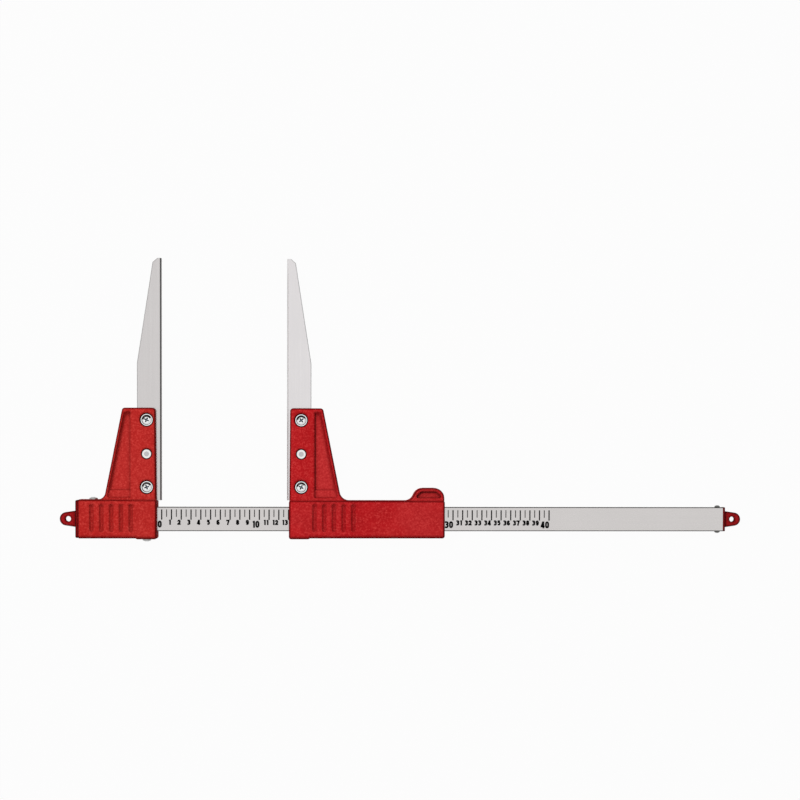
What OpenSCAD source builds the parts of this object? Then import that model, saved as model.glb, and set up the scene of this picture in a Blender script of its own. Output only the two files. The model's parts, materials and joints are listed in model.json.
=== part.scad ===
// Log caliper: two blade jaws on a hollow beam with a centimetre scale.
// The beam lies along X, the blades stand along Y and the scale faces +Z.

/* [Scale] */
// Largest diameter that the scale reads
scale_span = 400; // [300:10:500]
// Opening of the jaws as drawn
reading = 128.5; // [40:0.5:200]

/* [Beam] */
// Height of the beam's face, which carries the scale
beam_h = 25; // [22:0.5:30]
// Thickness of the beam
beam_t = 12; // [11:0.5:16]
// Wall of the hollow beam
beam_wall = 1.8; // [1.4:0.1:2.2]
// Bevel along the beam's long edges
beam_bevel = 0.8; // [0.4:0.1:1.2]
// Beam beyond the last mark of the scale
beam_tail = 182.6; // [140:0.2:220]

/* [Blades] */
// Width of a blade at its foot
blade_w = 25; // [22:0.5:28]
// Thickness of a blade
blade_t = 8; // [6:0.5:10]
// Reach of the blades above the beam
jaw_depth = 255; // [200:1:300]
// Length of a blade's tapered part
taper_l = 107.5; // [80:0.5:120]
// Width at the tip, below its chamfer
tip_w = 9; // [7:0.5:14]
// Flat left at the very tip
tip_flat = 4; // [3:0.5:6]
// Height of the tip's slanted chamfer
tip_drop = 4.3; // [2:0.1:6]
// Bevel on both sides of the measuring edge
edge_bevel = 1.6; // [0.8:0.1:2.4]

/* [Arms] */
// How far the fixed blade stands out of its housing
fixed_overhang = 4.5; // [2:0.1:6]
// How far the sliding blade stands out of its housing
slider_overhang = 2.1; // [2:0.1:6]
// Height of an arm above the slider's box
arm_h = 94.8; // [80:0.1:110]
// Width of an arm at its top, from the end of its box
arm_top_w = 35; // [33:0.2:38]
// Width of an arm at its foot, from the end of its box
arm_base_w = 54; // [46:0.5:58]
// How far an arm's inner side lies back from the end of the box at the top
arm_inset_top = 1.3; // [0.4:0.1:2]
// How far it lies back at the beam's middle line
arm_inset_foot = 0.3; // [0.2:0.1:1]
// Wall of an arm on each side of the blade
cheek_t = 6; // [5:0.25:7]
// Corner radius at the top of an arm
arm_corner_r = 3.2; // [2.4:0.1:4.5]
// Rounding along an arm's edges
arm_edge_r = 2; // [1:0.1:2.2]
// Fillet between the fixed arm and its box
fixed_fillet_r = 8; // [6:0.1:14]
// Fillet between the slider's arm and its box
slider_fillet_r = 10; // [6:0.1:14]
// Rim left along the slanted side of the fixed arm's recess
fixed_rim = 2.4; // [2.2:0.1:7]
// Rim left along the slanted side of the slider arm's recess
slider_rim = 2.9; // [2.2:0.1:7]
// Wall between the fixed blade's slot and the recess
fixed_web = 6.2; // [3:0.1:7]
// Wall between the sliding blade's slot and the recess
slider_web = 3.5; // [3:0.1:7]
// Depth of the recess on each face
recess_depth = 3; // [1.5:0.25:4]
// Depth of the shallow part at the foot of the recess
recess_foot_depth = 1.8; // [1:0.1:3]
// Height of that shallow part
recess_foot_h = 8.2; // [4:0.2:14]
// Material left above the recess
recess_top = 4.1; // [4:0.1:8]
// Material left below the recess
recess_bottom = 2.3; // [1.5:0.1:5]
// Corner radius at the floor of the recess
recess_r = 0.8; // [0.6:0.1:2]
// How far the recess is wider at the arm's face than at its floor
recess_draft = 2; // [0.5:0.1:3]

/* [Sleeve boxes] */
// Wall of a box above the beam
sleeve_wall = 6.75; // [5.5:0.25:8]
// Wall of a box below the beam
under_wall = 7.35; // [6:0.05:9]
// Wall of a box in front of and behind the beam
side_wall = 6; // [5:0.25:8]
// How far the fixed box's top stands above the slider's
fixed_rise = 0.8; // [0:0.1:2]
// Length of the fixed box, without its end plate
fixed_box_l = 79.1; // [76:0.1:100]
// Length of the slider's box
slider_box_l = 160.8; // [140:0.1:190]
// Rounding along the boxes' edges
box_edge_r = 2.5; // [1.5:0.1:3]
// Length of the screw boss under each box
boss_l = 22; // [20:0.5:26]
// How far the boss stands below the box
boss_h = 0.9; // [0.8:0.1:3]
// Distance from the fixed box's jaw end to its first grip groove
fixed_groove_start = 26; // [24:0.1:32]
// Distance from the slider's jaw end to its first grip groove
slider_groove_start = 26.4; // [23:0.1:30]
// Distance from one grip groove to the next
groove_pitch = 10; // [7:0.5:11]
// Width of a grip groove
groove_w = 4.5; // [2.5:0.1:5]
// Length of a grip groove
groove_l = 28.5; // [20:0.5:31]
// Height of the grooves' middle above the beam's middle line
groove_rise = 1; // [0:0.1:2]
// Depth of a grip groove
groove_d = 1.6; // [0.5:0.1:2]

/* [Thumb hook] */
// Height of the hook above the slider's box
hook_h = 13; // [11:0.1:18]
// Corner radius of the hook
hook_r = 10.6; // [8:0.1:12]
// Straight length along the hook's top
hook_flat = 11.3; // [8:0.1:24]
// Distance from the hook to the free end of the box
hook_inset = 0.4; // [0.2:0.1:4]
// Fillet at the hook's root
hook_fillet_r = 9.5; // [5:0.5:10]
// Length of the recess in the hook along its lower side
hook_recess_l = 25.4; // [16:0.1:27]
// Length of the recess in the hook along its upper side
hook_recess_top_l = 17.6; // [10:0.1:20]
// Height of the recess in the hook
hook_recess_h = 6.8; // [4:0.1:8]
// Corner radius of the recess in the hook
hook_recess_r = 1.8; // [0.8:0.1:2]
// Depth of the recess in the hook on each face
hook_recess_d = 3; // [1:0.25:5]
// Material left between that recess and the box
hook_recess_bottom = 2.5; // [1:0.1:3]

/* [End plugs] */
// Thickness of the plate that closes the fixed box
end_plate_t = 3.6; // [2:0.1:5]
// How far that plate lies in from the box's outline
end_plate_step = 0.6; // [0:0.1:1.5]
// Rounding along that plate's edges
end_plate_r = 1.4; // [0.8:0.1:2]
// Thickness of the flange at the beam's free end
free_flange_t = 2.3; // [1.8:0.1:4]
// Length of a lanyard eye
eye_l = 17; // [14:0.1:22]
// Height of an eye at its root
eye_root_h = 17; // [14:0.5:20]
// Outer radius at the tip of an eye
eye_r = 6.9; // [5.5:0.1:7.5]
// Diameter of an eye's hole
eye_bore_d = 5.6; // [4:0.1:7]
// Distance from an eye's root to the middle of its hole
eye_bore_x = 8.3; // [7:0.1:10]
// Thickness of an eye
eye_t = 5; // [4:0.25:7]
// Chamfer around an eye
eye_chamfer = 0.6; // [0.3:0.1:1]
// Reach of the fixed plug's tongue past its screw
plug_past_screw = 7.8; // [5:0.2:14]
// Length of the free plug inside the beam
free_plug_l = 14; // [10:0.5:24]

/* [Fasteners] */
// Diameter of the blade screws
blade_screw_d = 6; // [5:0.5:6]
// Head diameter of the blade screws
blade_head_d = 12.5; // [10:0.5:13]
// Head height of the blade screws
blade_head_h = 3.7; // [3:0.1:4.6]
// Depth of the seat that the head sits in
blade_seat = 3.5; // [2:0.25:4]
// Width across the flats of the blade nuts
nut_af = 10; // [9:0.5:11]
// Thickness of the blade nuts
nut_t = 3.2; // [2.5:0.1:4]
// Depth of a nut's outer face below the arm's back
nut_sink = 0.2; // [0:0.1:0.6]
// Chamfer at the corners of a nut
nut_chamfer = 0.5; // [0.2:0.1:0.6]
// Diameter of the dowel between the blade screws
dowel_d = 9.5; // [6:0.5:11]
// Chamfer at the ends of the dowel
dowel_chamfer = 0.5; // [0.2:0.1:1]
// Chamfer around the dowel's hole
dowel_mouth = 0.4; // [0.2:0.1:1]
// Distance of screws and dowel from the measuring edge
screw_inset = 14.75; // [13:0.25:16]
// Upper blade screw below the top of the arm
screw_drop = 12.4; // [10:0.2:20]
// Lower blade screw above the box
screw_rise = 13.5; // [10:0.1:20]
// Dowel below the middle between the blade screws
dowel_drop = 0.4; // [0:0.1:2]
// Diameter of the screw that holds the fixed plug
plug_screw_d = 5; // [4:0.5:6]
// Head diameter of the plug screw
plug_head_d = 8.8; // [8:0.1:11]
// Depth of the seat that the plug screw's head sits in
plug_seat = 0.2; // [0:0.1:1.2]
// Length of the plug screw under its head
plug_screw_l = 16; // [12:0.5:20]
// Diameter of the clamp screw under the fixed box
clamp_screw_d = 4; // [3:0.5:5]
// Head diameter of the clamp screw
clamp_head_d = 8.8; // [7:0.1:10]
// Head height of the plug screw and the clamp screw
small_head_h = 2.6; // [1.2:0.1:3]
// Length of the anchor block in the beam
anchor_l = 16; // [10:0.5:20]
// Height of the anchor block
anchor_h = 7; // [5:0.25:10]
// Diameter of the rivets at the free end
rivet_d = 3.2; // [2.4:0.1:4]
// Head diameter of the rivets
rivet_head_d = 5.7; // [5:0.1:8]
// Head height of the rivets
rivet_head_h = 2; // [1.2:0.1:3]
// Length of a rivet under its head
rivet_l = 7; // [5:0.25:8]
// Rivets' distance from the beam's free end
rivet_x = 4.6; // [4.2:0.1:8]

/* [Glides] */
// Gap between the sleeve's own walls and the beam
sleeve_gap = 0.4; // [0.3:0.05:0.8]
// Gap between a glide and the beam
glide_gap = 0.1; // [0.05:0.01:0.2]
// Depth of the pockets that hold the edge glides
glide_seat = 2; // [1.2:0.1:3]
// Length of an edge glide
glide_l = 24; // [16:0.5:30]
// Width of an edge glide and of the shoe
glide_w = 8; // [5:0.25:8.5]
// Distance from the end of the sleeve to an edge glide
glide_end = 5; // [3:0.25:9]
// Depth of the pockets that hold the face strips
strip_seat = 1.5; // [0.8:0.1:2.5]
// Width of a face strip
strip_w = 12; // [8:0.5:18]
// Distance from the end of the sleeve to a face strip
strip_end = 12; // [5:0.5:30]
// Length of the adjusting shoe
shoe_l = 18; // [12:0.5:19]
// Thickness of the adjusting shoe
shoe_t = 2.6; // [2:0.1:3.2]
// Travel of the shoe away from the beam
shoe_travel = 0.75; // [0.4:0.05:1]
// Diameter of the adjusting screw
adjuster_d = 6; // [5:0.5:7]
// Depth at which the adjusting screw lies in its boss
adjuster_sink = 0.4; // [0:0.1:1]
// Width across the flats of the adjusting screw's socket
socket_af = 3; // [2:0.5:3]
// Depth of that socket
socket_depth = 2.5; // [1.5:0.25:3.5]

/* [Clearances] */
// Gap around pieces that are pushed together
fit_gap = 0.1; // [0.05:0.01:0.2]
// Radial gap of holes that screws pass through
hole_gap = 0.2; // [0.1:0.05:0.4]
// Radial gap around a screw head that sits in the arm
seat_gap = 0.4; // [0.2:0.05:0.8]
// Gap between the plug screw's head and the fillet of the arm
head_gap = 0.3; // [0.2:0.05:2]
// Radial gap where a screw or pin is held
grip_gap = 0.05; // [0.02:0.01:0.1]

/* [Hidden] */

// Segments of round faces and of the corners that are hulled, and step of drawn arcs
$fn = 48;
hull_fn = 24;
arc_step = 15;
// Overrun of cuts past the faces that they open
over = 1;
groove_count = 5;
// Share of a fillet's radius that is sunk into what it joins
root_share = 1 / 3;
// Straight rim and flat crown of a screw head, as shares of its height and radius
head_rim = 0.35;
head_crown = 0.45;
small_head_crown = 0.72;
// Flat face of a nut, as a share of its width
nut_face = 0.95;
// Cross recess, as shares of the head's diameter and height
cross_span = 0.58;
cross_w = 0.15;
cross_depth = 0.6;

// Colours
red = [0.72, 0.15, 0.14];
bright_aluminium = [0.82, 0.81, 0.80];
zinc = [0.70, 0.71, 0.72];
white_acetal = [0.90, 0.90, 0.86];

// Sleeve boxes and arms, about the beam's middle line and middle plane.
// In a jaw's own frame x runs from its measuring edge into its housing,
// whose box starts at the blade's overhang.
box_h = beam_h + sleeve_wall + under_wall;
box_t = beam_t + 2 * side_wall;
box_top = beam_h / 2 + sleeve_wall;
box_bottom = beam_h / 2 + under_wall;
fixed_top = box_top + fixed_rise;
arm_t = blade_t + 2 * cheek_t;
arm_top = box_top + arm_h;
fixed_end = fixed_overhang + fixed_box_l;
slider_end = slider_overhang + slider_box_l;
fixed_boss_x = fixed_overhang + boss_l / 2;
slider_boss_x = slider_overhang + boss_l / 2;
boss_bottom = box_bottom + boss_h;

// Slanted outer side of an arm
slant = (arm_base_w - arm_top_w) / arm_h;
slant_cos = cos(atan(slant));
slant_sin = sin(atan(slant));
function slant_x(start, y) = start + arm_top_w + slant * (arm_top - y);
// Middle of a circle of radius r that touches the slanted side from within
function inside_slant(start, y, r) = [slant_x(start, y) - r / slant_cos, y];
// Middle of a fillet's circle, which touches the slanted side from outside and the box's top
function fillet_middle(start, top, r) = inside_slant(start, top + r, -r);
// Seat of the plug screw's head, beside the fillet, in the fixed jaw's own frame
plug_seat_d = plug_head_d + 2 * seat_gap;
plug_seat_y = fixed_top - plug_seat;
plug_screw_x = fillet_middle(fixed_overhang, fixed_top, fixed_fillet_r)[0] + plug_seat_d / 2 + head_gap;

// Beam
beam_start = -fixed_end;
beam_end = scale_span + beam_tail;
bore_h = beam_h - 2 * beam_wall;
bore_t = beam_t - 2 * beam_wall;
rivet_at = beam_end - rivet_x;

// Blades and their fasteners
blade_tip = beam_h / 2 + jaw_depth;
screw_high = arm_top - screw_drop;
screw_low = box_top + screw_rise;
dowel_y = (screw_high + screw_low) / 2 - dowel_drop;
nut_seat = nut_t + nut_sink;
// Turn of the cross recess in the lower and the upper blade screw
cross_turn = [20, 65];
seat_floor = arm_t / 2 - blade_seat;

// Thumb hook
hook_top = box_top + hook_h;
hook_right = slider_end - hook_inset - hook_r;
hook_left = hook_right - hook_flat;
hook_y = hook_top - hook_r;

// Glides
glide_left = slider_overhang + glide_end;
glide_right = slider_end - glide_end - glide_l;
glide_outer = beam_h / 2 + sleeve_gap + glide_seat;
strip_outer = beam_t / 2 + sleeve_gap + strip_seat;
shoe_top = -(beam_h / 2 + glide_gap);
shoe_bottom = shoe_top - shoe_t;

// Whole caliper, whose origin is the middle of its underside
left_end = beam_start - end_plate_t - eye_l;
right_end = beam_end + free_flange_t + eye_l;
lowest = -(boss_bottom + small_head_h);
origin = [(left_end + right_end) / 2, (lowest + blade_tip) / 2, -box_t / 2];

module in_place() translate(-origin) children();
module at_fixed_jaw() in_place() mirror([1, 0, 0]) children();
module at_sliding_jaw() in_place() translate([reading, 0, 0]) children();

// Keeps a piece at the beam's upper edge, or mirrors it to the lower one
module on_edge(side) mirror([0, side < 0 ? 1 : 0, 0]) children();

// Bar along X with a profile given in Y and Z
module bar(x0, x1) {
    translate([x0, 0, 0]) rotate([90, 0, 90]) linear_extrude(x1 - x0) children();
}

// Block between two corners
module block(low, high) translate(low) cube(high - low);

// Rims of a disc with rounded edges, for the corner of a hull
module rim(r, t, e) {
    for (side = [-1, 1]) translate([0, 0, side * (t / 2 - e)]) rotate_extrude($fn = hull_fn)
        intersection() {
            translate([r - e, 0]) circle(e, $fn = hull_fn);
            translate([0, -e]) square([r, 2 * e]);
        }
}

// Block with rounded edges, between two corners in plan
module soft_block(low, high, t, r) {
    hull() {
        for (x = [low[0] + r, high[0] - r]) for (y = [low[1] + r, high[1] - r])
            translate([x, y, 0]) rim(r, t, r);
    }
}

// Waisted roller that leaves a hollow fillet with rounded edges
module fillet_roller(r, t, e) {
    half = [for (a = [0:arc_step:90]) [r + e - e * cos(a), t / 2 - e + e * sin(a)]];
    top = [[r + e, t / 2 + over], [0, t / 2 + over]];
    bottom = [[0, -t / 2 - over], [r + e, -t / 2 - over]];
    lower = [for (i = [len(half) - 1:-1:0]) [half[i][0], -half[i][1]]];
    rotate_extrude() polygon(concat(bottom, lower, half, top));
}

// Round-ended bar along Y
module capsule(r, l) {
    straight = l / 2 - r;
    upper = [for (a = [0:arc_step:90]) [r * cos(a), straight + r * sin(a)]];
    lower = [for (a = [-90:arc_step:0]) [r * cos(a), -straight + r * sin(a)]];
    rotate([-90, 0, 0]) rotate_extrude() polygon(concat(lower, upper));
}

// Scooped grip groove of a given opening, cut from above the plane z = 0
module groove() {
    r = (groove_w * groove_w / 4 + groove_d * groove_d) / (2 * groove_d);
    translate([0, 0, r - groove_d]) capsule(r, groove_l + 2 * r - groove_w);
}

module box_grooves(first) {
    for (face = [0, 1]) mirror([0, 0, face]) for (i = [0:groove_count - 1])
        translate([first + i * groove_pitch, groove_rise, box_t / 2]) groove();
}

module sleeve_box(start, end, top) {
    soft_block([start, -box_bottom], [end, top], box_t, box_edge_r);
    soft_block([start, -boss_bottom], [start + boss_l, 0], box_t, box_edge_r);
}

// Arm's plate, with its lower corners inside the box
module arm_plate(start) {
    r = arm_corner_r;
    ends = [[0, arm_inset_foot], [arm_top - r, arm_inset_top]];
    hull() {
        for (corner = ends) {
            translate([start + corner[1] + r, corner[0], 0]) rim(r, arm_t, arm_edge_r);
            translate(inside_slant(start, corner[0], r)) rim(r, arm_t, arm_edge_r);
        }
    }
}

// Fillet between the slanted side of the arm and the top of the box
module arm_fillet(start, top, r) {
    middle = fillet_middle(start, top, r);
    on_slant = middle - r * [slant_cos, slant_sin];
    buried = root_share * r;
    difference() {
        linear_extrude(arm_t, center = true) polygon([
            middle,
            on_slant,
            on_slant - buried * [1, 0],
            [slant_x(start, top) - buried, top - buried],
            [middle[0], top - buried]
        ]);
        translate(middle) fillet_roller(r, arm_t, arm_edge_r);
    }
}

// Corner of the arm's recess, which widens from its floor to past the arm's face
module recess_corner() {
    h = recess_depth + over;
    cylinder(r1 = recess_r, r2 = recess_r + recess_draft * h / recess_depth, h = h, $fn = hull_fn);
}

// Recess on both faces of the arm, deep above and shallow at its foot.
// Its wall beside the blade is upright and the other walls are sloped.
module arm_recess(start, rim_w, web) {
    r = recess_r + recess_draft;
    low = box_top + recess_bottom;
    high = arm_top - recess_top;
    left = blade_w + web;
    foot = low + recess_foot_h;
    reach = start + arm_base_w;
    face = arm_t / 2 + over;
    foot_web = arm_t - 2 * recess_foot_depth;
    difference() {
        union() {
            for (side = [0, 1]) mirror([0, 0, side]) translate([0, 0, arm_t / 2 - recess_depth]) hull() {
                for (y = [low + r, high - r]) {
                    translate([left, y, 0]) recess_corner();
                    translate(inside_slant(start, y, r + rim_w)) recess_corner();
                }
            }
        }
        block([0, 0, -face], [left, arm_top, face]);
        block([0, 0, -foot_web / 2], [reach, foot, foot_web / 2]);
    }
}

// Slot for the blade, open at the measuring side and at the top
module blade_slot() {
    half = blade_t / 2 + fit_gap;
    block([0, box_top, -half], [blade_w + fit_gap, arm_top + over, half]);
}

// Holes for the blade screws, their heads and nuts, and for the dowel
module blade_holes() {
    for (y = [screw_low, screw_high]) translate([screw_inset, y, 0]) {
        cylinder(d = blade_screw_d + 2 * hole_gap, h = arm_t + 2 * over, center = true);
        translate([0, 0, seat_floor])
            cylinder(d = blade_head_d + 2 * seat_gap, h = blade_seat + over);
        translate([0, 0, -arm_t / 2 - over]) hexagon(nut_af + 2 * fit_gap, nut_seat + over);
    }
    translate([screw_inset, dowel_y, 0]) {
        hole_d = dowel_d + 2 * grip_gap;
        mouth = dowel_mouth + over;
        cylinder(d = hole_d, h = arm_t + 2 * over, center = true);
        for (face = [0, 1]) mirror([0, 0, face]) translate([0, 0, arm_t / 2 - dowel_mouth])
            cylinder(d1 = hole_d, d2 = hole_d + 2 * mouth, h = mouth);
    }
}

module hexagon(across, h) cylinder(d = across / cos(30), h = h, $fn = 6);

// Moulding of a jaw: sleeve box, boss and slotted arm, still without its bore for the beam
module jaw_moulding(start, end, top, fillet_r, rim_w, web, groove_start) {
    difference() {
        union() {
            sleeve_box(start, end, top);
            arm_plate(start);
            arm_fillet(start, top, fillet_r);
        }
        arm_recess(start, rim_w, web);
        blade_slot();
        blade_holes();
        box_grooves(start + groove_start);
    }
}

// Space for the beam with a gap on every side
module beam_space(gap, x0, x1) {
    block([x0, -beam_h / 2 - gap, -beam_t / 2 - gap], [x1, beam_h / 2 + gap, beam_t / 2 + gap]);
}

// Hole along Y between two heights
module hole_y(x, d, y0, y1) translate([x, y0, 0]) rotate([-90, 0, 0]) cylinder(d = d, h = y1 - y0);

module beam_outline() {
    h = beam_h / 2;
    t = beam_t / 2;
    b = beam_bevel;
    polygon([
        [-h + b, -t], [h - b, -t], [h, -t + b], [h, t - b],
        [h - b, t], [-h + b, t], [-h, t - b], [-h, -t + b]
    ]);
}

module beam() {
    in_place() color(bright_aluminium) difference() {
        bar(beam_start, beam_end) difference() {
            beam_outline();
            square([bore_h, bore_t], center = true);
        }
        hole_y(-plug_screw_x, plug_screw_d + 2 * hole_gap, 0, beam_h);
        hole_y(-fixed_boss_x, clamp_screw_d + 2 * hole_gap, -beam_h, 0);
        hole_y(rivet_at, rivet_d + 2 * grip_gap, -beam_h, beam_h);
    }
}

module fixed_housing() {
    at_fixed_jaw() color(red) difference() {
        jaw_moulding(
            fixed_overhang, fixed_end + end_plate_t, fixed_top,
            fixed_fillet_r, fixed_rim, fixed_web, fixed_groove_start
        );
        beam_space(fit_gap, 0, fixed_end + over);
        end_plate_space();
        hole_y(plug_screw_x, plug_screw_d + 2 * hole_gap, 0, box_h);
        hole_y(plug_screw_x, plug_seat_d, plug_seat_y, box_h);
        hole_y(fixed_boss_x, clamp_screw_d + 2 * hole_gap, -box_h, 0);
    }
}

// Everything past the plane where the fixed box meets its end plate
module end_plate_space() {
    block([fixed_end, -box_h, -box_t], [fixed_end + end_plate_t + over, box_h, box_t]);
}

// Lanyard eye that grows along X from the plane x = 0
module lanyard_eye(root) {
    difference() {
        hull() {
            for (c = [0, eye_chamfer]) {
                t = eye_t - 2 * (eye_chamfer - c);
                h = eye_root_h / 2 - c;
                translate([eye_l - eye_r, 0, -t / 2]) cylinder(r = eye_r - c, h = t, $fn = 2 * hull_fn);
                block([-root, -h, -t / 2], [0, h, t / 2]);
            }
        }
        translate([eye_bore_x, 0, 0]) cylinder(d = eye_bore_d, h = eye_t + 2 * over, center = true);
    }
}

// Tongue of an end plug, inside the beam between two places
module plug_tongue(x0, x1) {
    h = bore_h / 2 - fit_gap;
    t = bore_t / 2 - fit_gap;
    block([x0, -h, -t], [x1, h, t]);
}

module fixed_end_plug() {
    face = fixed_end + end_plate_t;
    low = [fixed_overhang, end_plate_step - box_bottom];
    high = [face, fixed_top - end_plate_step];
    at_fixed_jaw() color(red) difference() {
        union() {
            intersection() {
                soft_block(low, high, box_t - 2 * end_plate_step, end_plate_r);
                end_plate_space();
            }
            translate([face, 0, 0]) lanyard_eye(end_plate_t / 2);
            plug_tongue(plug_screw_x - plug_past_screw, fixed_end + end_plate_t / 2);
        }
        hole_y(plug_screw_x, plug_screw_d + 2 * grip_gap, plug_seat_y - plug_screw_l - over, box_h);
    }
}

module free_end_plug() {
    in_place() color(red) difference() {
        union() {
            bar(beam_end, beam_end + free_flange_t) beam_outline();
            translate([beam_end + free_flange_t, 0, 0]) lanyard_eye(free_flange_t / 2);
            plug_tongue(beam_end - free_plug_l, beam_end + free_flange_t / 2);
        }
        for (side = [-1, 1]) on_edge(side)
            hole_y(rivet_at, rivet_d + 2 * grip_gap, beam_h / 2 - rivet_l - over, beam_h);
    }
}

// Screw head with a domed top and straight rim, on the plane z = 0
module pan_head(d, h, crown) {
    rim_h = head_rim * h;
    dome = [for (a = [0:arc_step:90]) [
        d / 2 * (crown + (1 - crown) * cos(a)),
        rim_h + (h - rim_h) * sin(a)
    ]];
    rotate_extrude() polygon(concat([[0, 0], [d / 2, 0]], dome, [[0, h]]));
}

// Screw that points down from its head's seat at z = 0, with a cross recess
module cross_screw(d, l, head_d, head_h, crown) {
    wing = cross_span * head_d;
    wing_w = cross_w * head_d;
    depth = cross_depth * head_h;
    difference() {
        union() {
            pan_head(head_d, head_h, crown);
            translate([0, 0, -l]) cylinder(d = d, h = l);
        }
        for (turn = [0, 90]) rotate(turn) translate([-wing / 2, -wing_w / 2, head_h - depth])
            cube([wing, wing_w, depth + over]);
    }
}

// Blade, with its measuring edge at x = 0
module blade() {
    b = edge_bevel;
    t = blade_t / 2;
    outline = [
        [0, box_top],
        [blade_w, box_top],
        [blade_w, blade_tip - taper_l],
        [tip_w, blade_tip - tip_drop],
        [tip_flat, blade_tip],
        [0, blade_tip]
    ];
    section = [[0, -t + b], [b, -t], [blade_w, -t], [blade_w, t], [b, t], [0, t - b]];
    difference() {
        intersection() {
            linear_extrude(blade_t, center = true) polygon(outline);
            translate([0, blade_tip, 0]) rotate([90, 0, 0]) linear_extrude(blade_tip) polygon(section);
        }
        for (y = [screw_low, screw_high]) translate([screw_inset, y, 0])
            cylinder(d = blade_screw_d + 2 * hole_gap, h = blade_t + 2 * over, center = true);
        translate([screw_inset, dowel_y, 0])
            cylinder(d = dowel_d + 2 * grip_gap, h = blade_t + 2 * over, center = true);
    }
}

module blade_screws() {
    for (i = [0, 1]) translate([screw_inset, [screw_low, screw_high][i], seat_floor]) rotate(cross_turn[i])
        cross_screw(blade_screw_d, arm_t - blade_seat - nut_sink, blade_head_d, blade_head_h, head_crown);
}

// Nut with chamfered corners, on the plane z = 0
module nut() {
    face_r = nut_face * nut_af / 2;
    corner_run = nut_af / 2 / cos(30) - face_r;
    r = face_r + corner_run + over;
    rise = nut_chamfer * (r - face_r) / corner_run;
    difference() {
        intersection() {
            hexagon(nut_af, nut_t);
            rotate_extrude() polygon([
                [0, 0], [face_r, 0], [r, rise], [r, nut_t - rise], [face_r, nut_t], [0, nut_t]
            ]);
        }
        translate([0, 0, -over]) cylinder(d = blade_screw_d + 2 * grip_gap, h = nut_t + 2 * over);
    }
}

module blade_nuts() {
    for (y = [screw_low, screw_high]) translate([screw_inset, y, nut_sink - arm_t / 2]) nut();
}

module blade_dowel() {
    r = dowel_d / 2;
    half = arm_t / 2;
    c = dowel_chamfer;
    translate([screw_inset, dowel_y, 0]) rotate_extrude() polygon([
        [0, -half], [r - c, -half], [r, c - half], [r, half - c], [r - c, half], [0, half]
    ]);
}

module fixed_blade() at_fixed_jaw() color(bright_aluminium) blade();
module fixed_blade_screws() at_fixed_jaw() color(zinc) blade_screws();
module fixed_blade_nuts() at_fixed_jaw() color(zinc) blade_nuts();
module fixed_blade_dowel() at_fixed_jaw() color(bright_aluminium) blade_dowel();

module fixed_plug_screw() {
    in_place() color(zinc) translate([-plug_screw_x, plug_seat_y, 0]) rotate([-90, 0, 0])
        cross_screw(plug_screw_d, plug_screw_l, plug_head_d, small_head_h, small_head_crown);
}

module fixed_clamp_screw() {
    reach = boss_bottom - bore_h / 2 + anchor_h;
    in_place() color(zinc) translate([-fixed_boss_x, -boss_bottom, 0]) rotate([90, 0, 0])
        cross_screw(clamp_screw_d, reach, clamp_head_d, small_head_h, small_head_crown);
}

module fixed_anchor_block() {
    t = bore_t / 2 - fit_gap;
    low = -bore_h / 2;
    in_place() color(zinc) difference() {
        block([-fixed_boss_x - anchor_l / 2, low, -t], [-fixed_boss_x + anchor_l / 2, low + anchor_h, t]);
        hole_y(-fixed_boss_x, clamp_screw_d + 2 * grip_gap, low - over, low + anchor_h + over);
    }
}

// Dome-headed rivets through both edges of the beam
module free_end_rivets() {
    in_place() color(zinc) for (side = [-1, 1]) on_edge(side)
        translate([rivet_at, beam_h / 2, 0]) rotate([-90, 0, 0]) {
            pan_head(rivet_head_d, rivet_head_h, head_crown);
            translate([0, 0, -rivet_l]) cylinder(d = rivet_d, h = rivet_l);
        }
}

// Thumb hook over the free end of the slider's box
module thumb_hook() {
    r = hook_r;
    f = hook_fillet_r;
    fillet_y = box_top + f;
    fillet_x = hook_left - sqrt((r + f) * (r + f) - (fillet_y - hook_y) * (fillet_y - hook_y));
    hull() {
        for (x = [hook_left, hook_right]) for (y = [0, hook_y])
            translate([x, y, 0]) rim(r, arm_t, arm_edge_r);
    }
    difference() {
        linear_extrude(arm_t, center = true) polygon([
            [fillet_x, fillet_y],
            [hook_left, hook_y],
            [hook_left, box_top - root_share * f],
            [fillet_x, box_top - root_share * f]
        ]);
        translate([fillet_x, fillet_y, 0]) fillet_roller(f, arm_t, arm_edge_r);
    }
}

module hook_recess() {
    r = hook_recess_r;
    middle = (hook_left + hook_right) / 2;
    web = arm_t - 2 * hook_recess_d;
    half = hook_recess_l / 2;
    top_half = hook_recess_top_l / 2;
    low = box_top + hook_recess_bottom;
    high = low + hook_recess_h;
    difference() {
        linear_extrude(arm_t + 2 * over, center = true) hull() {
            for (side = [-1, 1]) {
                translate([middle + side * (half - r), low + r]) circle(r, $fn = hull_fn);
                translate([middle + side * (top_half - r), high - r]) circle(r, $fn = hull_fn);
            }
        }
        block([middle - half - over, low - over, -web / 2], [middle + half + over, high + over, web / 2]);
    }
}

// Glide along one edge of the beam, and the pocket that it sits in
module edge_glide(x0, side, gap) {
    half = glide_w / 2 + gap;
    inner = beam_h / 2 + (gap > 0 ? 0 : glide_gap);
    on_edge(side) block([x0 - gap, inner, -half], [x0 + glide_l + gap, glide_outer, half]);
}

// Strip along one face of the beam, and the pocket that it sits in
module face_strip(side, gap) {
    half = strip_w / 2 + gap;
    inner = beam_t / 2 + (gap > 0 ? 0 : glide_gap);
    mirror([0, 0, side < 0 ? 1 : 0]) block(
        [slider_overhang + strip_end - gap, -half, inner],
        [slider_end - strip_end + gap, half, strip_outer]
    );
}

module shoe_pocket() {
    half_l = shoe_l / 2 + fit_gap;
    half_w = glide_w / 2 + fit_gap;
    block([slider_boss_x - half_l, shoe_bottom - shoe_travel, -half_w], [slider_boss_x + half_l, 0, half_w]);
}

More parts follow.
